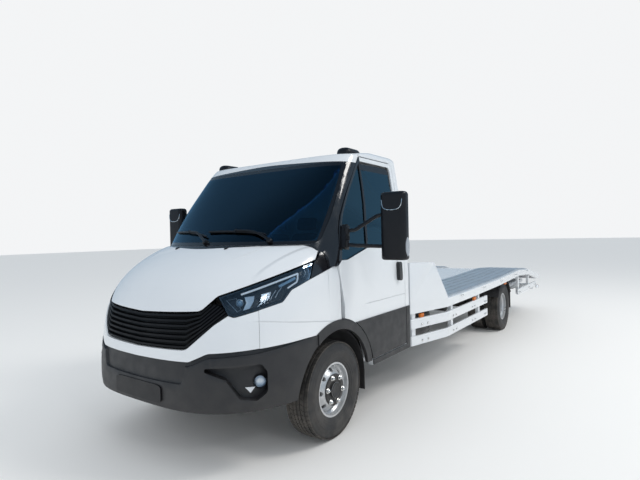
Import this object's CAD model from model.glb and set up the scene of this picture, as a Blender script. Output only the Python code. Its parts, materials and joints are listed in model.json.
"""A flatbed recovery truck: the looks, in metres, in the same frame as the solids."""
import json
from math import copysign, cos, exp, pi, radians, sin, sqrt

import bmesh
import bpy
from mathutils import Matrix, Vector
from mathutils.bvhtree import BVHTree

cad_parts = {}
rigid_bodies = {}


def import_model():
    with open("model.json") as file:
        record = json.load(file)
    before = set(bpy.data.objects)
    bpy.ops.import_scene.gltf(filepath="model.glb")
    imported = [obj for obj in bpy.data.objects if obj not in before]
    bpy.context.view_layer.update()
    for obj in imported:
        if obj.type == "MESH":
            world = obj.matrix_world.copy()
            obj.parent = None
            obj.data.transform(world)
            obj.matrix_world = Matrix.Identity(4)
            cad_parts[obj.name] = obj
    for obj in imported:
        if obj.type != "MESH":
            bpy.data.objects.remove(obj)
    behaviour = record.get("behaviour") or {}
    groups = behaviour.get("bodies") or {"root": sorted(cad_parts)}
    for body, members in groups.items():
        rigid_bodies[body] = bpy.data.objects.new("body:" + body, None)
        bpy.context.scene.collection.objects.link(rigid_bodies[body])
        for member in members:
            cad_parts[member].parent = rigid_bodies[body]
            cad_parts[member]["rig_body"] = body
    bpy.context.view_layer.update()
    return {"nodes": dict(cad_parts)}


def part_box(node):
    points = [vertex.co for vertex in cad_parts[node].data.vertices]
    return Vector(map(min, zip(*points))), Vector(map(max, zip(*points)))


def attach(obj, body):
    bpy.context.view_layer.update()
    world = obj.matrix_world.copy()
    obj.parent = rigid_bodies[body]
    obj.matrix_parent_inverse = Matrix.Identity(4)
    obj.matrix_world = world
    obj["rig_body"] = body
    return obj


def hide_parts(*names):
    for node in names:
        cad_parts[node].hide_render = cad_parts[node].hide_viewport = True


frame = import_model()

nodes = frame["nodes"]
scene = bpy.context.scene
scene.view_settings.view_transform = "Standard"

# ---- camera ----
# A wide lens at eye height, off the left front corner, close to the nose.
yaw, pitch, roll = radians(35.411), radians(-0.599), radians(-1.248)
look = Vector((-sin(yaw) * cos(pitch), cos(yaw) * cos(pitch), sin(pitch)))
level = Vector((cos(yaw), sin(yaw), 0))
upright = level.cross(look)
right = cos(roll) * level + sin(roll) * upright
up = cos(roll) * upright - sin(roll) * level
camera = bpy.data.objects.new("camera", bpy.data.cameras.new("camera"))
scene.collection.objects.link(camera)
camera.matrix_world = Matrix.Translation((2.966, -6.015, 1.575)) @ Matrix(
    (right, up, -look)
).transposed().to_4x4()
camera.data.sensor_width = 36
camera.data.lens = 26.02
camera.data.clip_end = 200
scene.camera = camera

# ---- floor and light ----
# A plain pale floor under a pale sky. A broad lamp stands high behind the left side, a weaker one
# in front, and the sky fills the shadows.


def feed(tree, socket, term):
    """Sets a socket to a value, or links it to the socket that feeds it."""
    if isinstance(term, bpy.types.NodeSocket):
        tree.links.new(term, socket)
    else:
        socket.default_value = term


def add(tree, kind, terms=(), **settings):
    """A node in a tree, with its settings and with its inputs fed by name or by number."""
    node = tree.nodes.new(kind)
    for label, value in settings.items():
        setattr(node, label, value)
    for label, term in dict(terms).items():
        feed(tree, node.inputs[label], term)
    return node


def shader_of(made):
    """The Principled shader of a material."""
    return made.node_tree.nodes["Principled BSDF"]


def material(name, colour, roughness, metallic=0.0):
    """A material with an even finish."""
    made = bpy.data.materials.new(name)
    made.use_nodes = True
    inputs = shader_of(made).inputs
    inputs["Base Color"].default_value = (*colour, 1)
    inputs["Roughness"].default_value = roughness
    inputs["Metallic"].default_value = metallic
    return made


def linked(name, data):
    """A new object in the scene that shows some data."""
    thing = bpy.data.objects.new(name, data)
    scene.collection.objects.link(thing)
    return thing


floor_mesh = bpy.data.meshes.new("floor")
floor_mesh.from_pydata([(-60, -60, 0), (60, -60, 0), (60, 90, 0), (-60, 90, 0)], [], [(0, 1, 2, 3)])
floor_mesh.materials.append(material("pale_floor", (0.93, 0.92, 0.90), 0.85))
linked("floor", floor_mesh)

world = bpy.data.worlds.new("sky")
scene.world = world
world.use_nodes = True
sky = world.node_tree
sky_light = sky.nodes["Background"]
sky_light.inputs["Color"].default_value = (0.90, 0.95, 1.0, 1)
sky_light.inputs["Strength"].default_value = 0.78
sky_seen = add(sky, "ShaderNodeBackground", {"Color": (0.90, 0.91, 0.92, 1)})
# Glass and gloss mirror a darker sky, grey near the skyline and deep blue overhead.
sky_spot = add(sky, "ShaderNodeTexCoord")
sky_split = add(sky, "ShaderNodeSeparateXYZ", {0: sky_spot.outputs["Generated"]})
sky_tint = add(sky, "ShaderNodeMix", {
    "Factor": sky_split.outputs["Z"], "A": (0.32, 0.44, 0.56, 1), "B": (0.12, 0.22, 0.34, 1),
}, data_type="RGBA")
sky_mirrored = add(sky, "ShaderNodeBackground", {"Color": sky_tint.outputs["Result"]})
ray = add(sky, "ShaderNodeLightPath")
sky_gloss = add(sky, "ShaderNodeMixShader", {
    "Fac": ray.outputs["Is Glossy Ray"], 1: sky_light.outputs[0], 2: sky_mirrored.outputs[0],
})
sky_mix = add(sky, "ShaderNodeMixShader", {
    "Fac": ray.outputs["Is Camera Ray"], 1: sky_gloss.outputs[0], 2: sky_seen.outputs[0],
})
feed(sky, sky.nodes["World Output"].inputs["Surface"], sky_mix.outputs[0])


def lamp(name, place, target, size, power, colour, mirrored=True):
    """A square area lamp at a place, aimed at a target, which gloss may mirror or not."""
    data = bpy.data.lights.new(name, "AREA")
    data.size = size
    data.energy = power
    data.color = colour
    source = linked(name, data)
    source.location = place
    source.visible_glossy = mirrored
    source.rotation_euler = (Vector(target) - Vector(place)).to_track_quat("-Z", "Y").to_euler()


lamp("key", (8.0, 2.0, 10.0), (0, -1.5, 0.8), 3.5, 480, (1.0, 0.97, 0.93))
lamp("front", (-3.0, -12.0, 6.0), (0, -3, 1.0), 6.0, 120, (0.93, 0.96, 1.0), mirrored=False)
lamp("pillar_light", (9.5, -6.5, 7.0), (0.9, -2.6, 1.9), 1.2, 60, (1.0, 1.0, 1.0))

# ---- painted body panels ----
# Pressed steel cab panels in white gloss paint over primer: faint orange peel, a dusty film that
# thickens towards the sills, and edges rolled to a small radius.


def new_group(name, inputs, output, kind="Float"):
    """A shader node group: returns it, the sockets of its named inputs and the one it puts out."""
    group = bpy.data.node_groups.new(name, "ShaderNodeTree")
    for label, value in inputs.items():
        sort = "NodeSocketVector" if isinstance(value, tuple) else "NodeSocketFloat"
        group.interface.new_socket(label, in_out="INPUT", socket_type=sort).default_value = value
    group.interface.new_socket(output, in_out="OUTPUT", socket_type="NodeSocket" + kind)
    return group, group.nodes.new("NodeGroupInput").outputs, group.nodes.new("NodeGroupOutput").inputs[0]


def calc(tree, operation, *terms):
    """A math node over sockets and numbers; returns its output."""
    return add(tree, "ShaderNodeMath", enumerate(terms), operation=operation).outputs[0]


def spot_of(tree):
    """The object coordinates of the spot that is shaded."""
    return add(tree, "ShaderNodeTexCoord").outputs["Object"]


def axes_of(tree):
    """The object's X, Y and Z in a material."""
    return add(tree, "ShaderNodeSeparateXYZ", {0: spot_of(tree)}).outputs


def ranged(tree, value, low, high, to_low=0.0, to_high=1.0, **settings):
    """A value carried from one range to another, and held at the ends."""
    return add(tree, "ShaderNodeMapRange", {
        "Value": value, "From Min": low, "From Max": high, "To Min": to_low, "To Max": to_high,
    }, **settings).outputs["Result"]


def noise(tree, scale, detail, roughness=0.5):
    """Noise over the object coordinates."""
    return add(tree, "ShaderNodeTexNoise", {
        "Vector": spot_of(tree), "Scale": scale, "Detail": detail, "Roughness": roughness,
    }).outputs["Fac"]


# Dust: a mask that is strongest below a height and breaks up with noise.
dust, dust_in, dust_out = new_group("dust", {"Height": 0.9, "Scale": 6.0, "Amount": 0.5}, "Mask")
fall = ranged(dust, axes_of(dust)["Z"], 0.2, dust_in["Height"], 1.0, 0.0)
patch = ranged(dust, noise(dust, dust_in["Scale"], 6, 0.65), 0.35, 0.75)
feed(dust, dust_out, calc(dust, "MULTIPLY", calc(dust, "MULTIPLY", fall, patch), dust_in["Amount"]))

# Grain: a fine bump for moulded, cast and sprayed surfaces.
grain, grain_in, grain_out = new_group("grain", {"Scale": 400.0, "Strength": 0.1, "Depth": 0.0005}, "Normal",
                                       "Vector")
relief = add(grain, "ShaderNodeBump", {
    "Strength": grain_in["Strength"], "Distance": grain_in["Depth"],
    "Height": noise(grain, grain_in["Scale"], 3),
})
feed(grain, grain_out, relief.outputs["Normal"])


def use_group(made, group, **values):
    """A group node in a material, with its inputs set; returns its output."""
    return add(made.node_tree, "ShaderNodeGroup", values, node_tree=group).outputs[0]


def mixed(tree, mask, first, second):
    """The first colour where a mask is zero and the second where it is one."""
    return add(tree, "ShaderNodeMix", {"Factor": mask, "A": first, "B": second},
               data_type="RGBA").outputs["Result"]


def weathered(name, colour, roughness, dusty=(0.30, 0.27, 0.23), metallic=0.0, dust_amount=0.5,
              dust_height=1.1, grain_scale=400.0, grain_strength=0.08, spread=0.12):
    """A finish with fine relief, uneven gloss and a film of dust towards the ground."""
    made = material(name, colour, roughness, metallic)
    tree, inputs = made.node_tree, shader_of(made).inputs
    film = use_group(made, dust, Height=dust_height, Amount=dust_amount)
    gloss = ranged(tree, noise(tree, 9.0, 5), 0.3, 0.7,
                   max(roughness - spread / 2, 0.02), min(roughness + spread, 1.0))
    feed(tree, inputs["Base Color"], mixed(tree, film, (*colour, 1), (*dusty, 1)))
    feed(tree, inputs["Roughness"], gloss)
    feed(tree, inputs["Normal"], use_group(made, grain, Scale=grain_scale, Strength=grain_strength))
    return made


def overlaid(made, mask, colour, roughness):
    """A second colour and gloss over a first, where a mask is one."""
    tree, inputs = made.node_tree, shader_of(made).inputs
    first_colour = inputs["Base Color"].links[0].from_socket
    first_gloss = inputs["Roughness"].links[0].from_socket
    feed(tree, inputs["Base Color"], mixed(tree, mask, first_colour, (*colour, 1)))
    rest = calc(tree, "MULTIPLY", first_gloss, calc(tree, "SUBTRACT", 1.0, mask))
    feed(tree, inputs["Roughness"], calc(tree, "MULTIPLY_ADD", mask, roughness, rest))


def embossed(made, height, depth):
    """The relief of a height over a material's own."""
    tree, normal = made.node_tree, shader_of(made).inputs["Normal"]
    raised = add(tree, "ShaderNodeBump", {
        "Distance": depth, "Height": height, "Normal": normal.links[0].from_socket,
    })
    feed(tree, normal, raised.outputs["Normal"])


# Crease: the height of a pressed line that runs from a place along a direction. The panel stands
# higher on the side that Across points to, and the line fades out at both ends.
crease, crease_in, crease_out = new_group("crease", {
    "Place": (0, 0, 0), "Along": (0, 1, 0), "Across": (0, 0, 1), "Reach": 1.0, "Width": 0.01,
}, "Height")
crease_fade = 0.12
crease_spot = axes_of(crease)
both_sides = add(crease, "ShaderNodeCombineXYZ", {
    "X": calc(crease, "ABSOLUTE", crease_spot["X"]), "Y": crease_spot["Y"], "Z": crease_spot["Z"],
})
from_place = add(crease, "ShaderNodeVectorMath", {0: both_sides.outputs[0], 1: crease_in["Place"]},
                 operation="SUBTRACT")
along, across = [
    add(crease, "ShaderNodeVectorMath", {0: from_place.outputs[0], 1: crease_in[label]},
        operation="DOT_PRODUCT").outputs["Value"]
    for label in ("Along", "Across")
]
crease_step = ranged(crease, across, calc(crease, "MULTIPLY", crease_in["Width"], -1.0), crease_in["Width"],
                     interpolation_type="SMOOTHSTEP")
crease_ends = [
    ranged(crease, gone, 0.0, crease_fade, interpolation_type="SMOOTHSTEP")
    for gone in (along, calc(crease, "SUBTRACT", crease_in["Reach"], along))
]
feed(crease, crease_out, calc(crease, "MULTIPLY", crease_step, calc(crease, "MULTIPLY", *crease_ends)))


def white_paint(name, creases=(), depth=0.012):
    """White gloss paint on a panel with pressed lines: (place, along, across, reach, width) each."""
    made = weathered(name, (0.74, 0.77, 0.80), 0.24, dusty=(0.55, 0.53, 0.49), dust_amount=0.12,
                     grain_scale=260, grain_strength=0.008, spread=0.03)
    shader_of(made).inputs["Coat Weight"].default_value = 0.5
    shader_of(made).inputs["Coat Roughness"].default_value = 0.05
    height = None
    for place, along, across, reach, width in creases:
        line = use_group(made, crease, Place=place, Along=along, Across=across, Reach=reach, Width=width)
        height = line if height is None else calc(made.node_tree, "ADD", height, line)
    if height is not None:
        embossed(made, height, depth)
    return made


tyre_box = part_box("tyre_front_left")
front_axle_y = (tyre_box[0].y + tyre_box[1].y) / 2
body_white = white_paint("body_white")
hood_white = white_paint("hood_white", [
    ((0.500, front_axle_y - 0.620, 0), (0.37, 0.93, 0), (-0.93, 0.37, 0), 0.60, 0.012),
    ((0.735, front_axle_y - 0.690, 0), (0.20, 0.98, 0), (0.98, -0.20, 0), 0.70, 0.014),
])
wing_white = white_paint("wing_white", [
    ((0, front_axle_y - 0.80, 1.022), (0, 1, 0), (0, -0.138, -0.99), 0.90, 0.007),
])
door_white = white_paint("door_white", [
    ((0, front_axle_y + 0.40, 0.984), (0, 1, 0), (0, 0, -1), 0.90, 0.006),
])
# The door's frame ahead of its window wears a gloss black film. The film's lower edge follows the
# shut line, then the foot of the window, and it ends behind the quarter light.
film = door_white.node_tree
film_end, foot_start, foot_slope, foot_z = 0.600, 0.181, 0.254, 1.372
shut_slope, shut_z = 0.77, 1.299
door_axes = axes_of(film)
behind = calc(film, "SUBTRACT", door_axes["Y"], front_axle_y)
past_foot = calc(film, "MAXIMUM", calc(film, "SUBTRACT", behind, foot_start), 0.0)
foot_line = calc(film, "MULTIPLY_ADD", past_foot, foot_slope, foot_z)
shut_line = calc(film, "MULTIPLY_ADD", behind, shut_slope, shut_z)
film_mask = calc(film, "MULTIPLY",
                 calc(film, "GREATER_THAN", door_axes["Z"], calc(film, "MINIMUM", shut_line, foot_line)),
                 calc(film, "LESS_THAN", behind, film_end))
overlaid(door_white, film_mask, (0.010, 0.010, 0.012), 0.10)


def rolled_copy(node, made, edge=0.0025):
    """A merged copy of a CAD node with smooth faces and rolled edges, which stands for it."""
    mesh = nodes[node].data.copy()
    mesh.name = "shaped_" + node
    work = bmesh.new()
    work.from_mesh(mesh)
    bmesh.ops.remove_doubles(work, verts=work.verts, dist=0.00002)
    bmesh.ops.dissolve_degenerate(work, dist=0.00005, edges=work.edges)
    for face in work.faces:
        face.smooth = True
    work.to_mesh(mesh)
    work.free()
    mesh.set_sharp_from_angle(angle=radians(30))
    mesh.materials.clear()
    mesh.materials.append(made)
    piece = linked("shaped_" + node, mesh)
    if edge:
        roll_edge = piece.modifiers.new("rolled", "BEVEL")
        roll_edge.width = edge
        roll_edge.segments = 2
        roll_edge.limit_method = "ANGLE"
        roll_edge.angle_limit = radians(38)
        roll_edge.harden_normals = True
    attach(piece, nodes[node]["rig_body"])
    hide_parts(node)
    return piece


for node, made in (("hood", hood_white), ("front_fascia", wing_white), ("fenders", wing_white),
                   ("door_left", door_white), ("door_right", door_white), ("cab_frame", body_white),
                   ("screen_frame", body_white), ("roof_panel", body_white)):
    rolled_copy(node, made)

# ---- tyres ----
# Radial van tyres on steel rims: a carcass with ribbed sidewalls, and tread blocks in five rows that
# a ring repeats round the wheel. Black rubber with brown-grey road dust on the tread.
tyre_rear_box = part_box("tyre_rear_left")
tyre_radius = (tyre_box[1].z - tyre_box[0].z) / 2
tyre_half = (tyre_box[1].x - tyre_box[0].x) / 2
rear_axle_y = (tyre_rear_box[0].y + tyre_rear_box[1].y) / 2
front_wheel_x = (tyre_box[0].x + tyre_box[1].x) / 2
rear_wheel_xs = (tyre_rear_box[1].x - tyre_half, tyre_rear_box[0].x + tyre_half)
tread_depth = 0.008

tyre_rubber = weathered(
    "tyre_rubber", (0.022, 0.022, 0.023), 0.62, dusty=(0.13, 0.115, 0.10), dust_amount=0.55,
    dust_height=0.9, grain_scale=600, grain_strength=0.15,
)
tread_rubber = weathered(
    "tread_rubber", (0.035, 0.033, 0.031), 0.85, dusty=(0.17, 0.15, 0.13), dust_amount=0.9,
    dust_height=1.6, grain_scale=500, grain_strength=0.4,
)


def mesh_tree(name, inputs):
    """A geometry node tree: returns it, the sockets of its inputs and the one it puts out."""
    tree = bpy.data.node_groups.new(name, "GeometryNodeTree")
    for label, kind in {"Geometry": "Geometry", **inputs}.items():
        tree.interface.new_socket(label, in_out="INPUT", socket_type="NodeSocket" + kind)
    tree.interface.new_socket("Geometry", in_out="OUTPUT", socket_type="NodeSocketGeometry")
    return tree, tree.nodes.new("NodeGroupInput").outputs, tree.nodes.new("NodeGroupOutput").inputs[0]


# A ring: repeats a part about the X axis, Count times, and carries it to Centre.
ring, ring_in, ring_out = mesh_tree("ring", {
    "Count": "Int", "Phase": "Float", "Centre": "Vector", "Finish": "Material",
})
places = add(ring, "GeometryNodePoints", {"Count": ring_in["Count"]})
order = add(ring, "GeometryNodeInputIndex")
share = calc(ring, "DIVIDE", order.outputs[0], ring_in["Count"])
turn = calc(ring, "MULTIPLY_ADD", share, 2 * pi, ring_in["Phase"])
about_x = add(ring, "ShaderNodeCombineXYZ", {"X": turn})
copies = add(ring, "GeometryNodeInstanceOnPoints", {
    "Points": places.outputs[0], "Instance": ring_in["Geometry"], "Rotation": about_x.outputs[0],
})
real = add(ring, "GeometryNodeRealizeInstances", {0: copies.outputs[0]})
carried = add(ring, "GeometryNodeTransform", {0: real.outputs[0], "Translation": ring_in["Centre"]})
dressed = add(ring, "GeometryNodeSetMaterial", {0: carried.outputs[0], "Material": ring_in["Finish"]})
feed(ring, ring_out, dressed.outputs[0])


def repeated(tree, part, **values):
    """The mesh that a tree makes out of a part, with the tree's inputs set by name."""
    carrier = linked("carrier", part)
    step = carrier.modifiers.new("repeat", "NODES")
    step.node_group = tree
    for socket in tree.interface.items_tree:
        if socket.name in values:
            step[socket.identifier] = values[socket.name]
    bpy.context.view_layer.update()
    seen = carrier.evaluated_get(bpy.context.evaluated_depsgraph_get())
    made = bpy.data.meshes.new_from_object(seen)
    bpy.data.objects.remove(carrier)
    return made


def mesh_of(name, work):
    """A mesh out of a bmesh, which it frees."""
    made = bpy.data.meshes.new(name)
    work.to_mesh(made)
    work.free()
    return made


def joined(name, meshes, body, smooth=30):
    """One piece out of several meshes, riding on a body, smooth below an angle."""
    work = bmesh.new()
    finishes = []
    for mesh in meshes:
        first = len(work.faces)
        work.from_mesh(mesh)
        work.faces.ensure_lookup_table()
        table = []
        for made in mesh.materials:
            if made not in finishes:
                finishes.append(made)
            table.append(finishes.index(made))
        for face in work.faces[first:]:
            face.material_index = table[face.material_index] if table else 0
            face.smooth = smooth > 0
    whole = mesh_of(name, work)
    for made in finishes:
        whole.materials.append(made)
    if smooth:
        whole.set_sharp_from_angle(angle=radians(smooth))
    piece = linked(name, whole)
    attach(piece, body)
    return piece


def skinned(name, rows, made, round_row=True, round_rows=False, caps=""):
    """A mesh of four-sided faces between rows of points. A row, and the row of rows, may close on
    itself, and caps says which ends are shut."""
    work = bmesh.new()
    grid = [[work.verts.new(point) for point in row] for row in rows]
    count = len(grid[0])
    for here, there in zip(grid, grid[1:] + (grid[:1] if round_rows else [])):
        for i in range(count if round_row else count - 1):
            j = (i + 1) % count
            work.faces.new((here[i], here[j], there[j], there[i]))
    if "first" in caps:
        work.faces.new(grid[0][::-1])
    if "last" in caps:
        work.faces.new(grid[-1])
    bmesh.ops.remove_doubles(work, verts=work.verts, dist=0.00001)
    bmesh.ops.recalc_face_normals(work, faces=work.faces)
    mesh = mesh_of(name, work)
    mesh.materials.append(made)
    return mesh


def circle(count, half_a=1.0, half_b=1.0):
    """Points round a circle or an oval."""
    return [(half_a * cos(2 * pi * k / count), half_b * sin(2 * pi * k / count)) for k in range(count)]


def turned(profile, steps, made, centre=(0, 0, 0), closed=True):
    """A surface of revolution about the X axis: profile points are (along X, radius)."""
    rows = [[(centre[0] + x, centre[1] + r * c, centre[2] + r * s) for x, r in profile]
            for c, s in circle(steps)]
    return skinned("turned", rows, made, round_row=closed, round_rows=True)


def carcass_profile():
    """Half the carcass from bead to crown, then its mirror image: (along X, radius)."""
    half = tyre_half
    edge = [
        (half - 0.030, 0.204), (half - 0.018, 0.214), (half - 0.013, 0.226), (half - 0.0125, 0.232),
        (half - 0.0085, 0.236), (half - 0.0055, 0.252), (half - 0.0035, 0.254), (half - 0.002, 0.272),
        (half - 0.0002, 0.276), (half - 0.0002, 0.300), (half - 0.0025, 0.303), (half - 0.004, 0.322),
        (half - 0.006, 0.325), (half - 0.009, 0.338), (half - 0.010, 0.347), (half - 0.016, 0.357),
        (half - 0.024, tyre_radius - tread_depth - 0.001), (0.004, tyre_radius - tread_depth + 0.001),
    ]
    return edge + [(-x, r) for x, r in reversed(edge)]


def tread_block(across, width, length, skew):
    """One tread block at the top of the wheel: its middle across the tread, its size and its skew."""
    crown = tyre_radius - 0.0015 * (across / 0.08) ** 2 - (0.0025 if abs(across) > 0.07 else 0)
    rows = [
        [(across + sx * (width / 2 - pull), sy * (length / 2 - pull) + skew * sx * width / 2, z)
         for sx, sy in ((-1, -1), (1, -1), (1, 1), (-1, 1))]
        for z, pull in ((crown - tread_depth - 0.002, 0.0), (crown - 0.0012, 0.0), (crown, 0.0012))
    ]
    return skinned("block", rows, tread_rubber, caps="last")


# middle across the tread, width, count, skew
tread_rows = [
    (-0.0855, 0.026, 66, 0.30), (-0.050, 0.030, 58, -0.45), (-0.0165, 0.024, 58, 0.5),
    (0.0165, 0.024, 58, 0.5), (0.050, 0.030, 58, -0.45), (0.0855, 0.026, 66, 0.30),
]
for side, sign in (("left", 1), ("right", -1)):
    for axle, xs, axle_y in (("front", (front_wheel_x,), front_axle_y), ("rear", rear_wheel_xs, rear_axle_y)):
        rubber = []
        for x in xs:
            centre = (sign * x, axle_y, tyre_radius)
            rubber.append(turned(carcass_profile(), 96, tyre_rubber, centre))
            for across, width, count, skew in tread_rows:
                length = 2 * pi * tyre_radius / count - 0.0045
                rubber.append(repeated(
                    ring, tread_block(across, width, length, skew * sign), Count=count, Phase=across * 3,
                    Centre=centre, Finish=tread_rubber,
                ))
        tyres = joined(f"treaded_tyre_{axle}_{side}", rubber, f"wheel_{axle}_{side}")
        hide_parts(f"tyre_{axle}_{side}")

# ---- steel wheels ----
# Pressed steel rims in silver lacquer with a black hub cover. Six bright domed nuts hold each front
# wheel, and the same nuts stand on the rear hub. A black cap closes the bearing.
wheel_silver = weathered(
    "wheel_silver", (0.62, 0.63, 0.64), 0.32, metallic=0.55, dusty=(0.25, 0.22, 0.19), dust_amount=0.35,
    dust_height=0.9, grain_scale=300, grain_strength=0.05,
)
hub_black = weathered(
    "hub_black", (0.014, 0.014, 0.015), 0.42, dusty=(0.16, 0.14, 0.12), dust_amount=0.4,
    dust_height=1.0, grain_scale=350, grain_strength=0.2,
)
nut_steel = weathered(
    "nut_steel", (0.75, 0.75, 0.74), 0.24, metallic=1.0, dusty=(0.2, 0.15, 0.1), dust_amount=0.3,
    grain_scale=500, grain_strength=0.1,
)
stud_circle = 0.1025


def dome_nut(reach, size=0.016, height=0.024, sides=12):
    """A hexagon nut with a domed end and a washer skirt, standing outwards at the stud circle."""
    flats = [1.0 if i % 2 == 0 else 0.90 for i in range(sides)]
    rows = []
    for x, radius, shares in (
        (0, size * 1.32, [1.0] * sides), (0.004, size * 1.30, [1.0] * sides), (0.0045, size, flats),
        (height * 0.62, size, flats), (height * 0.85, size * 0.72, flats), (height, size * 0.3, flats),
    ):
        rows.append([(reach + x, radius * share * c, stud_circle + radius * share * s)
                     for share, (c, s) in zip(shares, circle(sides))])
    return skinned("nut", rows, nut_steel, caps="last")


def mirrored_mesh(mesh):
    """The mesh's twin on the other side of the vehicle's middle plane, faces still outwards."""
    work = bmesh.new()
    work.from_mesh(mesh)
    for corner in work.verts:
        corner.co.x = -corner.co.x
    bmesh.ops.reverse_faces(work, faces=work.faces)
    twin = mesh_of(mesh.name + "_twin", work)
    for made in mesh.materials:
        twin.materials.append(made)
    return twin


# along X from the disc's face, radius
hub_covers = {
    "front": [(0.001, 0.122), (0.008, 0.121), (0.010, 0.117), (0.010, 0.088), (0.005, 0.080), (0.005, 0.061),
              (0.022, 0.057), (0.024, 0.050), (0.021, 0.040), (0.021, 0.0)],
    "rear": [(0.001, 0.120), (0.005, 0.119), (0.006, 0.112), (0.006, 0.078), (0.138, 0.0715), (0.144, 0.064),
             (0.145, 0.050), (0.141, 0.044), (0.141, 0.0)],
}
valve_stem = [(0.0, 0.0035), (0.030, 0.0035), (0.031, 0.0045), (0.040, 0.0045), (0.041, 0.0)]
for axle, face_x, axle_y, nut_seat in (("front", front_wheel_x + 0.084, front_axle_y, 0.009),
                                       ("rear", rear_wheel_xs[0] - 0.119, rear_axle_y, 0.005)):
    centre = Vector((face_x, axle_y, tyre_radius))
    left_hand = [
        turned(hub_covers[axle], 64, hub_black, centre, closed=False),
        repeated(ring, dome_nut(nut_seat), Count=6, Phase=0.35, Centre=centre, Finish=nut_steel),
        turned(valve_stem, 12, nut_steel, centre + Vector((-0.03, 0.0, 0.185)), closed=False),
    ]
    right_hand = [mirrored_mesh(mesh) for mesh in left_hand]
    for side, meshes in (("left", left_hand), ("right", right_hand)):
        joined(f"hub_and_nuts_{axle}_{side}", meshes, f"wheel_{axle}_{side}")
        rolled_copy(f"rim_{axle}_{side}", wheel_silver, edge=0.0012)

# ---- moulded charcoal trim ----
# Bumper, arch flares and door cladding: polypropylene in dark grey with a fine moulded grain, clipped
# on from behind. Dust sits in the grain near the ground. Above the belt, where the same nodes hold
# the window divider and the pull handle, they are black.
charcoal = weathered(
    "charcoal_plastic", (0.018, 0.018, 0.020), 0.46, dusty=(0.10, 0.09, 0.08), dust_amount=0.30,
    dust_height=0.9, grain_scale=900, grain_strength=0.22,
)
belt_z = 1.10
overlaid(charcoal, calc(charcoal.node_tree, "GREATER_THAN", axes_of(charcoal.node_tree)["Z"], belt_z),
         (0.009, 0.009, 0.011), 0.22)
for node in ("bumper", "wheel_arches", "door_cladding_left", "door_cladding_right", "sill_cladding"):
    rolled_copy(node, charcoal, edge=0.004)

# ---- black trim ----
# Grille slats, mirrors and roof pods in satin black, pillar trims and scuttle in gloss black.
satin_black = weathered(
    "satin_black", (0.006, 0.006, 0.008), 0.34, dusty=(0.06, 0.055, 0.05), dust_amount=0.2,
    grain_scale=800, grain_strength=0.10,
)
shader_of(satin_black).inputs["Specular IOR Level"].default_value = 0.35
gloss_black = weathered(
    "gloss_black", (0.009, 0.009, 0.011), 0.12, dusty=(0.10, 0.10, 0.10), dust_amount=0.1,
    grain_scale=300, grain_strength=0.02,
)
shader_of(gloss_black).inputs["Coat Weight"].default_value = 0.5
grille_black = weathered(
    "grille_black", (0.005, 0.005, 0.006), 0.5, dusty=(0.05, 0.045, 0.04), dust_amount=0.2,
    grain_scale=800, grain_strength=0.15,
)
shader_of(grille_black).inputs["Specular IOR Level"].default_value = 0.25
for node in ("roof_pods", "mirror_left", "mirror_right"):
    rolled_copy(node, satin_black, edge=0.004)
rolled_copy("cowl", gloss_black, edge=0.0015)
for node in ("grille", "front_carrier"):
    rolled_copy(node, grille_black, edge=0.003)

# ---- glass ----
# Laminated windscreen and tempered door panes, 5 mm thick with a blue-green tint. The panes are
# bonded, with a fired black band round their edges.


def tinted_glass(name, tint, mirrored=(0.75, 0.85, 0.95), index=1.5):
    """Clear tinted glass that darkens what is behind it and mirrors the sky at a low angle."""
    made = material(name, tint, 0.02)
    tree = made.node_tree
    tree.nodes.remove(shader_of(made))
    clear = add(tree, "ShaderNodeBsdfTransparent", {"Color": (*tint, 1)})
    ripple = use_group(made, grain, Scale=3.0, Strength=0.02)
    shine = add(tree, "ShaderNodeBsdfGlossy", {"Color": (*mirrored, 1), "Roughness": 0.02, "Normal": ripple})
    angle = add(tree, "ShaderNodeFresnel", {"IOR": index})
    pane = add(tree, "ShaderNodeMixShader", {0: angle.outputs[0], 1: clear.outputs[0], 2: shine.outputs[0]})
    feed(tree, tree.nodes["Material Output"].inputs["Surface"], pane.outputs[0])
    return made


def fired_band(made, mask):
    """Lays an opaque black enamel on glass where a mask is one."""
    tree = made.node_tree
    surface = tree.nodes["Material Output"].inputs["Surface"]
    enamel = add(tree, "ShaderNodeBsdfPrincipled", {
        "Base Color": (0.006, 0.006, 0.008, 1), "Roughness": 0.08,
    })
    chosen = add(tree, "ShaderNodeMixShader", {
        0: mask, 1: surface.links[0].from_socket, 2: enamel.outputs[0],
    })
    feed(tree, surface, chosen.outputs[0])


# The clear field of the screen lies between two heights, and its half width falls off with the
# square of the distance from its broadest height.
screen_low, screen_high, broadest_z, half_clear, clear_fall = 1.535, 2.168, 1.70, 0.880, -0.206
screen_glass = tinted_glass("screen_glass", (0.30, 0.44, 0.52), (0.40, 0.68, 0.90))
pane = screen_glass.node_tree
pane_axes = axes_of(pane)
off_middle = calc(pane, "SUBTRACT", pane_axes["Z"], broadest_z)
pane_side = calc(pane, "MULTIPLY_ADD", calc(pane, "MULTIPLY", off_middle, off_middle), clear_fall, half_clear)
band = calc(pane, "GREATER_THAN", calc(pane, "ABSOLUTE", pane_axes["X"]), pane_side)
band = calc(pane, "MAXIMUM", band, calc(pane, "LESS_THAN", pane_axes["Z"], screen_low))
fired_band(screen_glass, calc(pane, "MAXIMUM", band, calc(pane, "GREATER_THAN", pane_axes["Z"], screen_high)))
rolled_copy("windscreen", screen_glass, edge=0)

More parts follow.
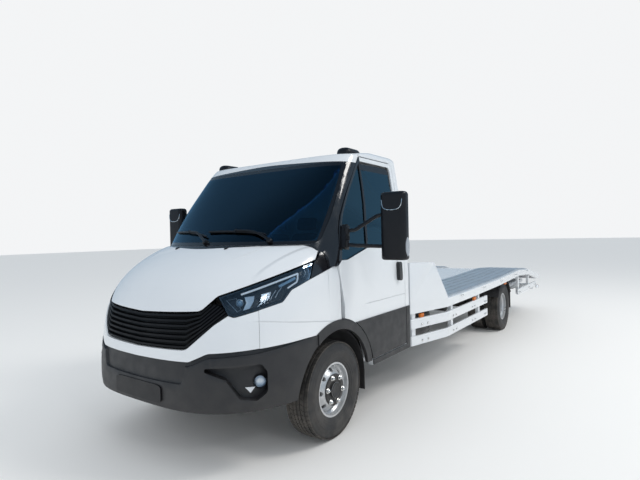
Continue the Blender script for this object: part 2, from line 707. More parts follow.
door_clear_top, door_clear_back = 2.150, front_axle_y + 1.143
door_glass = tinted_glass("door_glass", (0.26, 0.42, 0.50), (0.45, 0.80, 1.0), 1.95)
pane = door_glass.node_tree
pane_axes = axes_of(pane)
fired_band(door_glass, calc(pane, "MAXIMUM", calc(pane, "GREATER_THAN", pane_axes["Z"], door_clear_top),
                            calc(pane, "GREATER_THAN", pane_axes["Y"], door_clear_back)))
for side in ("left", "right"):
    rolled_copy(f"door_glass_{side}", door_glass, edge=0)

# ---- headlamps ----
# Clear polycarbonate lenses over black pockets. Inside stand two faceted chrome reflectors, a white
# light guide that hooks back at its outer end, a blue-tinted bar and a finned dark bezel.
lens_clear = tinted_glass("lens_clear", (0.93, 0.96, 0.98))
lamp_bezel = weathered(
    "lamp_bezel", (0.020, 0.023, 0.028), 0.28, dust_amount=0.0, grain_scale=500, grain_strength=0.05,
)
lamp_chrome = weathered(
    "lamp_chrome", (0.70, 0.72, 0.75), 0.34, metallic=1.0, dust_amount=0.0,
    grain_scale=260, grain_strength=0.05,
)
guide_white = weathered(
    "guide_white", (0.88, 0.92, 0.97), 0.25, dust_amount=0.0, grain_scale=700, grain_strength=0.05,
)
shader_of(guide_white).inputs["Emission Color"].default_value = (0.85, 0.92, 1.0, 1)
shader_of(guide_white).inputs["Emission Strength"].default_value = 0.20
guide_blue = weathered(
    "guide_blue", (0.30, 0.48, 0.66), 0.18, dust_amount=0.0, grain_scale=700, grain_strength=0.05,
)
rolled_copy("lamp_lenses", lens_clear, edge=0.001)
rolled_copy("headlamps", lamp_bezel, edge=0.001)


def surface_of(*names):
    """A search tree over the faces of CAD nodes."""
    corners, faces = [], []
    for name in names:
        mesh = nodes[name].data
        first = len(corners)
        corners += [corner.co.copy() for corner in mesh.vertices]
        faces += [[first + i for i in face.vertices] for face in mesh.polygons]
    return BVHTree.FromPolygons(corners, faces)


quarter_along = Vector((1, 1, 0)).normalized()
quarter_out = Vector((1, -1, 0)).normalized()


def in_lamp(skin, s, z, depth):
    """A point a depth behind a skin, as seen along the quarter view: s across it, z its height."""
    start = Vector((0, front_axle_y, z)) + quarter_along * s + quarter_out * 3
    found = skin.ray_cast(start, -quarter_out)[0]
    return found - quarter_out * depth


def eased_line(points, pieces=6):
    """A smooth line through points."""
    ends = [points[0] * 2 - points[1]] + list(points) + [points[-1] * 2 - points[-2]]
    line = []
    for i in range(len(points) - 1):
        a, b, c, d = ends[i:i + 4]
        for k in range(pieces):
            t = k / pieces
            line.append(0.5 * ((2 * b) + (c - a) * t + (2 * a - 5 * b + 4 * c - d) * t * t
                               + (3 * b - a - 3 * c + d) * t ** 3))
    return line + [points[-1]]


def rounded(width, height, cut=0.3):
    """The corners of a bar's section: a rectangle with its corners cut."""
    w, h, c = width / 2, height / 2, min(width, height) * cut
    quarter = [(w, h - c), (w - c, h)]
    half = quarter + [(-a, b) for a, b in reversed(quarter)]
    return half + [(-a, -b) for a, b in half]


def bar(points, section, made, up=(0, 0, 1), closed=False, taper=None):
    """A bar along a line, its section's first axis sideways and its second along up."""
    rows = []
    count = len(points)
    up = Vector(up)
    for i, point in enumerate(points):
        before = points[i - 1] if i or closed else points[i]
        after = points[(i + 1) % count] if i + 1 < count or closed else points[i]
        ahead = (Vector(after) - Vector(before)).normalized()
        side = ahead.cross(up).normalized()
        top = side.cross(ahead)
        scale = taper[i] if taper else 1.0
        rows.append([Vector(point) + side * a * scale + top * b * scale for a, b in section])
    return skinned("bar", rows, made, round_rows=closed, caps="" if closed else "first last")


def facet(front, back, made):
    """A closed plate between two matching rings of points, its front face split into a crowned fan."""
    middle = sum((Vector(point) for point in front), Vector()) / len(front)
    return skinned("facet", [back, front, [middle] * len(front)], made, caps="first")


def both_hands(name, meshes, body):
    """A piece for the left and its mirror image for the right, joined on one body."""
    joined(name, meshes + [mirrored_mesh(mesh) for mesh in meshes], body)


lens_skin = surface_of("lamp_lenses")


def lamp_line(corners, depth):
    """Points a depth behind the lens: corners in millimetres across the quarter view and in height."""
    return [in_lamp(lens_skin, s / 1000, z / 1000, depth) for s, z in corners]


def faced(profile, steps, made, place, direction, closed=False):
    """A turned shape that stands at a place and faces a direction."""
    mesh = turned(profile, steps, made, closed=closed)
    turn_to = Vector((1, 0, 0)).rotation_difference(Vector(direction)).to_matrix().to_4x4()
    mesh.transform(Matrix.Translation(place) @ turn_to)
    return mesh


inner_v = [(2, 1167), (69, 1172), (63, 1139), (35, 1094), (-9, 1083), (14, 1130)]
outer_v = [(114, 1179), (183, 1192), (172, 1149), (84, 1099), (120, 1140)]
eye = lamp_line([(-30, 1128)], 0.050)[0]
lamp_parts = [
    # light guide, its hook, the blue bar and the bright outline of the inner pocket
    bar(eased_line(lamp_line([(-20, 1185), (80, 1214), (181, 1244), (290, 1276), (384, 1303)], 0.016), 4),
        rounded(0.013, 0.011), guide_white, up=quarter_out),
    bar(lamp_line([(384, 1303), (379, 1268), (372, 1246), (340, 1229), (302, 1209)], 0.016),
        rounded(0.011, 0.011), guide_white, up=quarter_out),
    bar(eased_line(lamp_line([(240, 1222), (300, 1247), (361, 1273)], 0.022), 4),
        rounded(0.018, 0.012), guide_blue, up=quarter_out),
    bar(lamp_line([(-117, 1150), (-48, 1077), (-22, 1088), (-52, 1161)], 0.020), rounded(0.004, 0.004),
        lamp_chrome, up=quarter_out, closed=True),
    facet(lamp_line(inner_v, 0.022), lamp_line(inner_v, 0.040), lamp_chrome),
    facet(lamp_line(outer_v, 0.022), lamp_line(outer_v, 0.042), lamp_chrome),
    # projector: a thick lens in a chrome ring, deep between the reflectors
    faced([(0.0, 0.026), (0.010, 0.026), (0.012, 0.022), (0.004, 0.018), (0.0, 0.018)], 32, lamp_chrome, eye,
          quarter_out, closed=True),
    faced([(0.004, 0.018), (0.010, 0.014), (0.014, 0.008), (0.0152, 0.0)], 32, guide_blue, eye, quarter_out),
]
# fins of the dark bezel, and small reflex facets at the outer end
for i in range(7):
    s = 132 + 20 * i
    fin = lamp_line([(s - 22, 1106 + 9 * i), (s, 1140 + 9.5 * i), (s + 26, 1176 + 8 * i)], 0.020)
    finish = lamp_chrome if i % 2 else lamp_bezel
    lamp_parts.append(bar(fin, rounded(0.005, 0.012), finish, up=quarter_out))
for i in range(5):
    s = 400 + 14 * i
    reflex = lamp_line([(s, 1262 + 7 * i), (s + 16, 1290 + 6 * i), (s + 8, 1316 + 4 * i)], 0.016)
    finish = lamp_chrome if i == 2 else lamp_bezel
    lamp_parts.append(bar(reflex, rounded(0.006, 0.006), finish, up=quarter_out))
both_hands("lamp_insides", lamp_parts, "chassis")

# ---- fog lamps ----
# A round lamp in each bumper recess, glass over a chrome bowl, with a bright scoop below it and a
# moulded diagonal rib.
bumper_skin = surface_of("bumper")


def in_recess(corners, depth):
    """Points a depth behind the bumper's skin where the quarter view meets it, in millimetres."""
    return [in_lamp(bumper_skin, s / 1000, z / 1000, depth) for s, z in corners]


fog_place = in_recess([(92, 607)], -0.004)[0]
scoop = [(-8, 577), (59, 574), (28, 537)]
fog_parts = [
    faced(profile, 40, made, fog_place, quarter_out, closed=made is satin_black)
    for made, profile in (
        (satin_black, [(0.0, 0.047), (0.016, 0.046), (0.019, 0.041), (0.010, 0.038), (0.0, 0.038)]),
        (lamp_chrome, [(0.010, 0.038), (0.004, 0.026), (0.0015, 0.012), (0.001, 0.0)]),
        (lens_clear, [(0.012, 0.038), (0.0165, 0.028), (0.0185, 0.014), (0.019, 0.0)]),
    )
]
fog_parts += [
    bar(in_recess([(-134, 648), (-98, 606), (-62, 564), (-34, 528)], -0.006), rounded(0.012, 0.010), charcoal,
        up=quarter_out),
    facet(in_recess(scoop, -0.006), in_recess(scoop, 0.004), lamp_chrome),
]
both_hands("fog_lamps", fog_parts, "chassis")

# ---- wipers and washer jets ----
# Two pressed arms in black from caps on the scuttle, with rubber blades parked low on the glass, and
# a jet at each side of the hood's rear edge.
screen_skin = surface_of("windscreen")
hood_skin = surface_of("hood")


def on_screen(x, z, lift):
    """A point on the windscreen seen from ahead, raised off the glass, and the glass's normal there."""
    place, normal = screen_skin.ray_cast(Vector((x, front_axle_y - 3, z)), Vector((0, 1, 0)))[:2]
    if normal.y > 0:
        normal = -normal
    return place + normal * lift, normal


def over_screen(line, lift):
    """A smooth line over the glass through points given by X and height."""
    return eased_line([on_screen(x, z, lift)[0] for x, z in line], 5)


# each wiper: its blade and its arm, from the cap inwards
wiper_lines = (
    ([(-0.66, 1.622), (-0.52, 1.622), (-0.38, 1.617), (-0.20, 1.598), (-0.06, 1.574)],
     [(-0.020, 1.528), (-0.090, 1.556), (-0.22, 1.603), (-0.36, 1.618)]),
    ([(-0.07, 1.612), (0.10, 1.613), (0.28, 1.608), (0.42, 1.598), (0.52, 1.584)],
     [(0.575, 1.532), (0.530, 1.556), (0.40, 1.602), (0.24, 1.612)]),
)
arm_cap = [(-0.012, 0.024), (0.016, 0.023), (0.024, 0.017), (0.027, 0.0)]
arm_pivot = [(-0.006, 0.012), (0.010, 0.012), (0.012, 0.0)]
wiper_parts = []
for blade, arm in wiper_lines:
    normal = on_screen(*blade[2], 0)[1]
    arm_points = over_screen(arm, 0.026)
    thinning = [1.2 - 0.5 * i / len(arm_points) for i in range(len(arm_points))]
    wiper_parts += [
        bar(over_screen(blade, 0.006), rounded(0.006, 0.011), tyre_rubber, up=normal),
        bar(over_screen(blade, 0.016), rounded(0.016, 0.009), satin_black, up=normal),
        bar(arm_points, rounded(0.020, 0.010), satin_black, up=normal, taper=thinning),
        faced(arm_cap, 24, satin_black, on_screen(*arm[0], 0.006)[0], normal),
        faced(arm_pivot, 16, satin_black, on_screen(*arm[-1], 0.020)[0], normal),
    ]
joined("wipers", wiper_parts, "chassis")

jets = []
for x in (-0.300, 0.294):
    place, normal = hood_skin.ray_cast(Vector((x, front_axle_y - 0.475, 3)), Vector((0, 0, -1)))[:2]
    ahead = Vector((0, -1, 0)) + normal * normal.y
    ahead.normalize()
    ridge = [place + ahead * forward + normal * lift
             for forward, lift in ((0.017, 0.001), (0.010, 0.004), (-0.010, 0.006), (-0.020, 0.004))]
    jets.append(bar(ridge, rounded(0.024, 0.009), satin_black, up=normal, taper=[0.6, 0.95, 1.0, 0.7]))
joined("washer_jets", jets, "hood")

# ---- mirrors ----
# Satin black shells with a raised upper cap, a thin silver line under it and a clear turn lamp at the
# lower outer corner. Two silvered panes face the rear. Knuckles join the arms to the door's bracket.
mirror_silver = weathered(
    "mirror_silver", (0.80, 0.83, 0.85), 0.03, metallic=1.0, dust_amount=0.05,
    grain_scale=3, grain_strength=0.005, spread=0.01,
)
turn_lamp = weathered(
    "turn_lamp", (0.34, 0.37, 0.41), 0.22, dust_amount=0.05, grain_scale=120, grain_strength=0.35,
)
mirror_skin = surface_of("mirror_left")
outer_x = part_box("mirror_left")[1].x
middle_x = outer_x - 0.109
rear_face_y, lamp_y, lamp_z = front_axle_y + 0.396, front_axle_y + 0.338, 1.470


def soft_rectangle(half_a, half_b, power):
    """Points round a rectangle whose corners are softer where the power is higher."""
    return [(half_a * copysign(abs(c) ** power, c), half_b * copysign(abs(s) ** power, s))
            for c, s in circle(32)]


def on_shell(x, z):
    """A point just off the shell's front, met from ahead."""
    met = mirror_skin.ray_cast(Vector((x, front_axle_y - 2, z)), Vector((0, 1, 0)))[0]
    return met + Vector((0, -0.002, 0))


# the silver line runs down one side of the cap, under it and up the other
fall_off = [(0.088, 1.842), (0.082, 1.800), (0.066, 1.775), (0.040, 1.764)]
smile = [(-x, z) for x, z in fall_off] + [(0, 1.761)] + fall_off[::-1]
smile_line = eased_line([on_shell(middle_x + x, z) for x, z in smile], 4)
fittings = [bar(smile_line, rounded(0.005, 0.005), mirror_silver, up=(0, -1, 0))]
for centre_z, half_z in ((1.700, 0.165), (1.445, 0.060)):
    edge = [Vector((middle_x + a, rear_face_y + 0.0015, centre_z + b))
            for a, b in soft_rectangle(0.088, half_z, 0.4)]
    fittings.append(facet(edge, [point + Vector((0, -0.004, 0)) for point in edge], mirror_silver))
    fittings.append(bar(edge, rounded(0.006, 0.006), satin_black, up=(0, 1, 0), closed=True))
lobe = circle(24, 0.030, 0.080)
fittings.append(facet([Vector((outer_x + 0.005, lamp_y + a * 0.8, lamp_z + b * 0.88)) for a, b in lobe],
                      [Vector((outer_x - 0.004, lamp_y + a, lamp_z + b)) for a, b in lobe], turn_lamp))
for y, z, radius in ((0.132, 1.500, 0.024), (0.140, 1.600, 0.024), (0.150, 1.560, 0.018)):
    knuckle = [(-0.030, 0.8 * radius), (-0.024, radius), (0.024, radius), (0.030, 0.8 * radius), (0.031, 0.0),
               (-0.031, 0.0)]
    fittings.append(faced(knuckle, 20, satin_black, (1.012, front_axle_y + y, z), (0, 0, 1), closed=True))
far_fittings = [mirrored_mesh(mesh) for mesh in fittings]
joined("mirror_fittings_left", fittings, "door_left")
joined("mirror_fittings_right", far_fittings, "door_right")

# ---- bed ----
# Welded steel and aluminium car-carrying bed: white painted beams, plate and headboard, bare ribbed
# aluminium wheel tracks.
track_metal = weathered(
    "track_aluminium", (0.66, 0.69, 0.72), 0.34, metallic=0.85, dusty=(0.33, 0.31, 0.28), dust_amount=0.5,
    dust_height=2.5, grain_scale=300, grain_strength=0.12,
)
board_white = white_paint("board_white", [
    ((0, front_axle_y + start, z), (0, 1, 0), (0, 0, -1), reach, 0.003)
    for start, z, reach in ((1.20, 0.676, 2.60), (1.20, 0.500, 2.60), (5.20, 0.565, 1.90))
], depth=0.003)
for node in ("side_beams", "headboard", "bed_frame", "rear_bumper", "deck_plate"):
    rolled_copy(node, body_white, edge=0.003)
rolled_copy("side_guards", board_white, edge=0.003)
for node in ("wheel_tracks", "ramps"):
    rolled_copy(node, track_metal, edge=0.002)
track_skin = surface_of("wheel_tracks")
plate_skin = surface_of("deck_plate")
track_out, track_in = 1.100, 0.430
track_front, track_rear = front_axle_y + 1.900, front_axle_y + 7.080


def on_top(skin, x, y):
    """The place where a skin is met from above, and its normal there."""
    return skin.ray_cast(Vector((x, y, 3)), Vector((0, 0, -1)))[:2]


# Six broad ribs run the length of each track.
track_parts = []
rib_ys = [track_front + (track_rear - track_front) * i / 40 for i in range(41)]
for i in range(6):
    x = track_in + 0.055 + (track_out - track_in - 0.11) * i / 5
    line = [on_top(track_skin, x, y)[0] + Vector((0, 0, 0.003)) for y in rib_ys]
    track_parts.append(bar(line, rounded(0.052, 0.010, 0.35), track_metal))

# Scattered: a part stands on each point of a cloud, turned to the cloud's normal attribute.
scatter, scatter_in, scatter_out = mesh_tree("scatter", {"Part": "Object", "Finish": "Material"})
seed_part = add(scatter, "GeometryNodeObjectInfo", {"Object": scatter_in["Part"]})
way_there = add(scatter, "GeometryNodeInputNamedAttribute", {"Name": "way"}, data_type="FLOAT_VECTOR")
turn_there = add(scatter, "FunctionNodeAlignRotationToVector", {"Vector": way_there.outputs[0]}, axis="Z")
stood = add(scatter, "GeometryNodeInstanceOnPoints", {
    "Points": scatter_in["Geometry"], "Instance": seed_part.outputs["Geometry"],
    "Rotation": turn_there.outputs["Rotation"],
})
real = add(scatter, "GeometryNodeRealizeInstances", {0: stood.outputs[0]})
dressed = add(scatter, "GeometryNodeSetMaterial", {0: real.outputs[0], "Material": scatter_in["Finish"]})
feed(scatter, scatter_out, dressed.outputs[0])


def spread_out(part, spots, made):
    """The mesh of a part that stands along +Z, set at each (place, way) of a list."""
    seed = linked("seed", part)
    cloud_mesh = bpy.data.meshes.new("spots")
    cloud_mesh.from_pydata([place for place, way in spots], [], [])
    ways = cloud_mesh.attributes.new("way", "FLOAT_VECTOR", "POINT")
    for i, (place, way) in enumerate(spots):
        ways.data[i].vector = way
    result = repeated(scatter, cloud_mesh, Part=seed, Finish=made)
    bpy.data.objects.remove(seed)
    return result


def standing(profile, steps, made):
    """A turned shape that stands along Z: profile points are (height, radius)."""
    mesh = turned(profile, steps, made, closed=False)
    mesh.transform(Matrix(((0, 1, 0), (0, 0, 1), (1, 0, 0))).to_4x4())
    return mesh


def tear(made):
    """One raised tear of a chequer plate."""
    rows = [[(x, y, z) for x, y in circle(8, long, short)]
            for long, short, z in ((0.017, 0.006, 0), (0.011, 0.003, 0.0022))]
    return skinned("tear", rows, made, caps="last")


# Chequer plate down the middle of the bed: tears in rows that turn by a right angle in turn.
tear_pitch = 0.075
tear_spots = ([], [])
row = 0
y = front_axle_y + 1.46
while y < front_axle_y + 7.02:
    reach = track_in - 0.03 if y > track_front else track_out - 0.06
    number = int(2 * reach / tear_pitch)
    for k in range(number + 1):
        found, way = on_top(plate_skin, -reach + 2 * reach * k / number, y)
        if found:
            tear_spots[(row + k) % 2].append((found + Vector((0, 0, 0.0005)), way))
    row += 1
    y += tear_pitch
turned_tear = tear(body_white)
turned_tear.transform(Matrix.Rotation(pi / 2, 4, "Z"))
joined("chequer_tears", [spread_out(part, spots, body_white)
                         for part, spots in zip((tear(body_white), turned_tear), tear_spots)],
       "chassis", smooth=0)

# Punched grip holes with raised rims along the tracks' front edges, and a dark tow eye in each.
grip_rim = [(0.0, 0.021), (0.005, 0.018), (0.0062, 0.015), (0.0052, 0.012), (0.0004, 0.011), (0.0003, 0.0)]
grip_xs = [track_in + 0.06 + (track_out - track_in - 0.12) * k / 8 for k in range(9)]
grip_spots = [on_top(track_skin, x, track_front + back) for x in grip_xs for back in (0.045, 0.115)]
tow_eye = [(0.0, 0.040), (0.005, 0.038), (0.007, 0.032), (0.001, 0.030), (0.0005, 0.0)]
tow_spot = on_top(track_skin, track_out - 0.21, track_front + 0.21)
track_parts.append(spread_out(standing(grip_rim, 16, track_metal), grip_spots, track_metal))
track_parts.append(spread_out(standing(tow_eye, 28, satin_black), [tow_spot], satin_black))
both_hands("track_ribs", track_parts, "chassis")

# Bolts hold the guards to their posts. Lashing eyes stand along the beams.
bolt = [(0.0, 0.014), (0.002, 0.014), (0.0025, 0.009), (0.009, 0.009), (0.0105, 0.007), (0.011, 0.0)]
guard_skin = surface_of("side_guards")
beam_skin = surface_of("side_beams")


def from_side(skin, places):
    """Where lines from the left side, at (distance behind the front axle, height), meet a skin."""
    met = [skin.ray_cast(Vector((3, front_axle_y + y, z)), Vector((-1, 0, 0)))[:2] for y, z in places]
    return [(found, normal) for found, normal in met if found]


bolt_spots = from_side(guard_skin, [(y, z) for y in (1.52, 1.62, 2.15, 2.25, 2.85, 2.95, 3.38, 3.44)
                                    for z in (0.634, 0.468)])
bolt_spots += from_side(guard_skin, [(y, 0.530) for y in (5.44, 5.50, 6.20, 6.26, 6.74, 6.80)])
bed_parts = [spread_out(standing(bolt, 12, nut_steel), bolt_spots, nut_steel)]
eye_places = [(2.45, 0.830), (3.35, 0.830), (4.25, 0.830), (5.15, 0.850), (6.05, 0.850)]
for place, way in from_side(beam_skin, eye_places):
    loop = [place + Vector((0.022 * sin(pi * k / 8), 0.030 * cos(pi * k / 8), 0)) for k in range(9)]
    bed_parts.append(bar(loop, rounded(0.009, 0.009), nut_steel))
both_hands("bolts_and_lashing_eyes", bed_parts, "chassis")

# ---- running gear ----
# Chassis, springs, links and shafts in satin black chassis paint, cast hubs and gearbox, and an
# aluminised exhaust.
chassis_black = weathered(
    "chassis_black", (0.020, 0.020, 0.021), 0.5, dusty=(0.14, 0.12, 0.10), dust_amount=0.6,
    dust_height=1.2, grain_scale=250, grain_strength=0.3,
)
cast_grey = weathered(
    "cast_grey", (0.16, 0.155, 0.15), 0.58, metallic=0.7, dusty=(0.16, 0.13, 0.10), dust_amount=0.6,
    dust_height=1.3, grain_scale=220, grain_strength=0.5,
)
exhaust_steel = weathered(
    "exhaust_steel", (0.34, 0.32, 0.30), 0.42, metallic=0.9, dusty=(0.18, 0.12, 0.08), dust_amount=0.7,
    dust_height=1.2, grain_scale=200, grain_strength=0.25,
)
for node in ("chassis_frame", "front_suspension", "rear_suspension", "propshaft", "cab_floor"):
    rolled_copy(node, chassis_black, edge=0.002)
for node in ("engine", "knuckle_left", "knuckle_right"):
    rolled_copy(node, cast_grey, edge=0.006)
rolled_copy("exhaust", exhaust_steel, edge=0.003)
for node in ("fuel_tank", "mudguards"):
    rolled_copy(node, charcoal, edge=0.004)

# ---- dashboard ----
# Grained dark moulding with round air vents, a centre screen, a cowled dial panel and stalks by the
# steering wheel.
dash_plastic = weathered(
    "dash_plastic", (0.045, 0.047, 0.052), 0.6, dust_amount=0.1, grain_scale=700, grain_strength=0.3,
)
rolled_copy("dashboard", dash_plastic, edge=0.004)
dash_skin = surface_of("dashboard")
across_way = Vector((1, 0, 0))
dash_way = Vector((0, 0.843, 0.537))
slope = Vector((0, -0.537, 0.843))


def on_dash(x, z, lift=0.0):
    """A point of the dashboard's sloping face, met from the seats and raised off it."""
    return dash_skin.ray_cast(Vector((x, front_axle_y + 0.95, z)), Vector((0, -1, 0)))[0] + dash_way * lift


def face_plate(centre, half_w, half_h, thick, made):
    """A thin plate with round corners lying on the dashboard's face."""
    edge = [centre + across_way * a + slope * b for a, b in soft_rectangle(half_w, half_h, 0.3)]
    return facet([point + dash_way * thick for point in edge], edge, made)


dash_parts = []
vent_radius = 0.036
vent_rim = [(-0.004, 0.045), (0.010, 0.044), (0.012, 0.039), (-0.002, vent_radius)]
for x in (-0.78, -0.16, 0.10, 0.78):
    place = on_dash(x, 1.385)
    dash_parts.append(faced(vent_rim, 28, satin_black, place, dash_way, closed=True))
    for k in range(5):
        drop = -0.024 + 0.012 * k
        wide = sqrt(vent_radius ** 2 - drop ** 2)
        centre = place + dash_way * 0.004 + slope * drop
        dash_parts.append(bar([centre - across_way * wide, centre + across_way * wide], rounded(0.008, 0.002),
                              satin_black, up=slope))
dash_parts.append(face_plate(on_dash(-0.03, 1.385, 0.003), 0.100, 0.052, 0.006, gloss_black))
dash_parts.append(face_plate(on_dash(0.37, 1.400, 0.002), 0.150, 0.048, 0.008, gloss_black))
for k in range(5):
    dash_parts.append(faced([(0.0, 0.012), (0.006, 0.011), (0.008, 0.009), (0.008, 0.0)], 16, satin_black,
                            on_dash(-0.11 + 0.04 * k, 1.30), (0, 0.96, -0.28)))
wheel_x = 0.37
for sign in (-1, 1):
    stalk = [Vector((wheel_x + sign * out, front_axle_y + back, z))
             for out, back, z in ((0.030, 0.610, 1.392), (0.120, 0.622, 1.400), (0.175, 0.628, 1.404))]
    dash_parts.append(bar(stalk, rounded(0.012, 0.012), satin_black, taper=[1.0, 0.9, 1.3]))
joined("dash_fittings", dash_parts, "chassis")

# ---- seats ----
# A driver's seat and a double bench: woven dark cloth over foam on black moulded bases. Each squab,
# back and head cushion is a crowned pad with two sewn channels, its cloth swollen by the foam.
seat_cloth = weathered(
    "seat_cloth", (0.050, 0.055, 0.065), 0.88, dust_amount=0.1, grain_scale=900, grain_strength=0.6,
)
weave = seat_cloth.node_tree
threads = [
    add(weave, "ShaderNodeTexWave", {"Scale": 160, "Vector": spot_of(weave)}, bands_direction=way).outputs[1]
    for way in ("X", "Z")
]
embossed(seat_cloth, calc(weave, "MULTIPLY", *threads), 0.0006)

base_top = 1.052
seat_base = rolled_copy("seats", dash_plastic, edge=0.006)
work = bmesh.new()
work.from_mesh(seat_base.data)
cut = bmesh.ops.bisect_plane(work, geom=work.verts[:] + work.edges[:] + work.faces[:],
                             plane_co=(0, 0, base_top), plane_no=(0, 0, 1), clear_outer=True)
rim_edges = [part for part in cut["geom_cut"] if isinstance(part, bmesh.types.BMEdge)]
bmesh.ops.holes_fill(work, edges=rim_edges, sides=0)
work.to_mesh(seat_base.data)
work.free()
seat_base.name = "seat_bases"
settle_frames = 20


def frozen(thing, modifier):
    """The object's mesh as its modifiers make it becomes its own, and the last one goes."""
    bpy.context.view_layer.update()
    shape = bpy.data.meshes.new_from_object(thing.evaluated_get(bpy.context.evaluated_depsgraph_get()))
    thing.modifiers.remove(modifier)
    thing.data = shape
    return shape


def swollen(pad, limit):
    """Foam under pressure swells the cloth of a pad, nowhere by more than a limit."""
    start = [corner.co.copy() for corner in pad.data.vertices]
    foam = pad.modifiers.new("foam", "CLOTH")
    foam.settings.use_pressure = True
    foam.settings.uniform_pressure_force = 4
    foam.settings.effector_weights.gravity = 0
    foam.settings.quality = 4
    foam.collision_settings.use_collision = False
    foam.point_cache.frame_start = 1
    foam.point_cache.frame_end = settle_frames
    for number in range(1, settle_frames + 1):
        scene.frame_set(number)
    full = frozen(pad, foam)
    scene.frame_set(1)
    for corner, place in zip(full.vertices, start):
        move = corner.co - place
        if move.length > limit:
            corner.co = place + move.normalized() * limit


def cushion(name, centre, half, lean, channels):
    """A padded piece: a rounded block of half sizes along X, its depth and its height, swollen."""
    work = bmesh.new()
    bmesh.ops.create_cube(work, size=2)
    bmesh.ops.subdivide_edges(work, edges=work.edges, cuts=11, use_grid_fill=True)
    for corner in work.verts:
        u, v, w = corner.co
        round_off = 1 - 0.10 * (abs(u) ** 6 * abs(w) ** 6) - 0.05 * abs(v) ** 4
        corner.co = Vector((u * half[0] * (1 - 0.05 * abs(w) ** 4) * (1 - 0.03 * v * v),
                            v * half[1] * (1 - 0.35 * max(abs(u), abs(w)) ** 5),
                            w * half[2] * (1 - 0.05 * abs(u) ** 4) * round_off))
    pad = linked(name, mesh_of(name, work))
    even = pad.modifiers.new("even", "REMESH")
    even.mode = "VOXEL"
    even.voxel_size = 0.009
    even.use_smooth_shade = True
    frozen(pad, even)
    swollen(pad, 0.016)
    # sewn channels run up the pad, and a seam runs round its edge
    for corner in pad.data.vertices:
        x, y, z = corner.co
        for channel in channels:
            gap = (x - channel * half[0]) / 0.007
            if abs(gap) < 4:
                corner.co.y -= 0.010 * exp(-gap * gap) * (1 if y > 0 else -1)
        edge_gap = (abs(y) - half[1] * 0.55) / 0.006
        if abs(edge_gap) < 4 and max(abs(x) / half[0], abs(z) / half[2]) > 0.9:
            pull = 1 - 0.008 * exp(-edge_gap * edge_gap) / max(half[0], half[2])
            corner.co.x *= pull
            corner.co.z *= pull
    pad.data.transform(Matrix.Translation(centre) @ Matrix.Rotation(lean, 4, "X"))
    for face in pad.data.polygons:
        face.use_smooth = True
    pad.data.materials.clear()
    pad.data.materials.append(seat_cloth)
    finer = pad.modifiers.new("finer", "SUBSURF")
    finer.levels = finer.render_levels = 1
    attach(pad, "chassis")


squab_lean, back_lean = radians(-90) + 0.06, -0.205
sewn = (-0.5, 0.5)
for label, x, half_x in (("driver", 0.410, 0.226), ("middle", -0.118, 0.202), ("outer", -0.542, 0.202)):
    y = front_axle_y
    cushion(f"squab_{label}", (x, y + 0.845, 1.108), (half_x, 0.048, 0.180), squab_lean, sewn)
    cushion(f"back_{label}", (x, y + 1.056, 1.405), (half_x - 0.006, 0.040, 0.215), back_lean, sewn)
    cushion(f"head_{label}", (x, y + 1.118, 1.702), (0.125, 0.038, 0.068), back_lean, ())

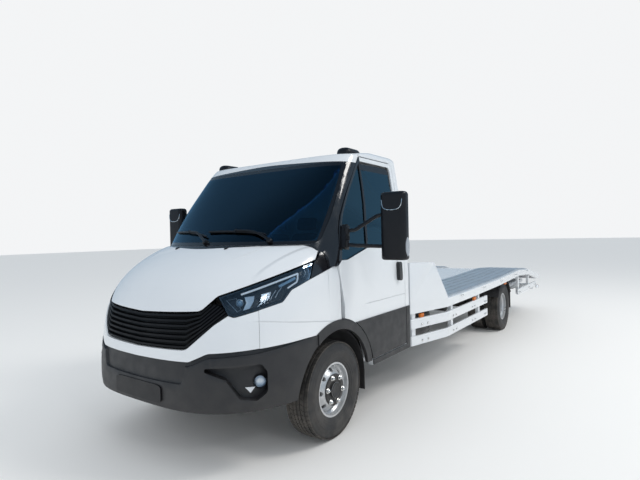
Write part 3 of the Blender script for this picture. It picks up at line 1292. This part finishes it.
# ---- lamps at the sides and the tail ----
# Ribbed lenses: amber along the sides, and at the tail red, amber and clear chambers side by side.
# An outline lamp stands on a rubber stalk at each rear corner.
marker_amber = weathered(
    "marker_amber", (0.80, 0.20, 0.015), 0.2, dust_amount=0.1, grain_scale=300, grain_strength=0.1,
)
tail_y, red_from, clear_to = front_axle_y + 6.9, 0.975, 0.885
lens = marker_amber.node_tree
lens_axes = axes_of(lens)
at_tail = calc(lens, "GREATER_THAN", lens_axes["Y"], tail_y)
off_x = calc(lens, "ABSOLUTE", lens_axes["X"])
red_mask = calc(lens, "MULTIPLY", at_tail, calc(lens, "GREATER_THAN", off_x, red_from))
clear_mask = calc(lens, "MULTIPLY", at_tail, calc(lens, "LESS_THAN", off_x, clear_to))
overlaid(marker_amber, red_mask, (0.42, 0.008, 0.008), 0.2)
overlaid(marker_amber, clear_mask, (0.72, 0.74, 0.76), 0.2)
embossed(marker_amber, calc(lens, "SINE", calc(lens, "MULTIPLY", lens_axes["Z"], 900.0)), 0.0015)
rolled_copy("marker_lamps", marker_amber, edge=0.006)

stalk_line = [Vector((x, front_axle_y + y, z))
              for x, y, z in ((1.070, 6.955, 0.500), (1.105, 6.965, 0.492), (1.128, 6.985, 0.475),
                              (1.140, 7.000, 0.470))]
stalk_parts = [bar(eased_line(stalk_line, 5), rounded(0.020, 0.016), tyre_rubber)]
for made, facing, profile in (
    (tyre_rubber, -1, [(-0.020, 0.010), (-0.016, 0.028), (0.004, 0.031), (0.006, 0.031)]),
    (guide_white, -1, [(0.006, 0.029), (0.014, 0.026), (0.019, 0.014), (0.020, 0.0)]),
    (marker_amber, 1, [(0.020, 0.029), (0.028, 0.026), (0.033, 0.014), (0.034, 0.0)]),
):
    stalk_parts.append(faced(profile, 24, made, stalk_line[-1], (0, facing, 0)))
both_hands("stalk_lamps", stalk_parts, "chassis")

# ---- intake bracket and plate holders ----
# A pressed bracket stands in the middle of the intake. Blank plate holders sit on the bumper's lip
# and the rear bar.
nose_skin = surface_of("bumper", "front_fascia")
lip_z = 0.520
lip = nose_skin.ray_cast(Vector((0.0, front_axle_y - 3, lip_z)), Vector((0, 1, 0)))[0]
holder_parts = [bar([Vector((0, front_axle_y - 0.985, 0.600)), Vector((0, front_axle_y - 0.990, 0.740))],
                    rounded(0.150, 0.020), satin_black, up=(0, -1, 0))]
for x, y, z, facing in ((0.0, lip.y - 0.002, lip_z, -1), (0.45, front_axle_y + 6.992, 0.455, 1)):
    edge = [Vector((x + a, y, z + b)) for a, b in soft_rectangle(0.265, 0.062, 0.25)]
    holder_parts.append(facet([point + Vector((0, facing * 0.006, 0)) for point in edge], edge, satin_black))
joined("plate_holders", holder_parts, "chassis")
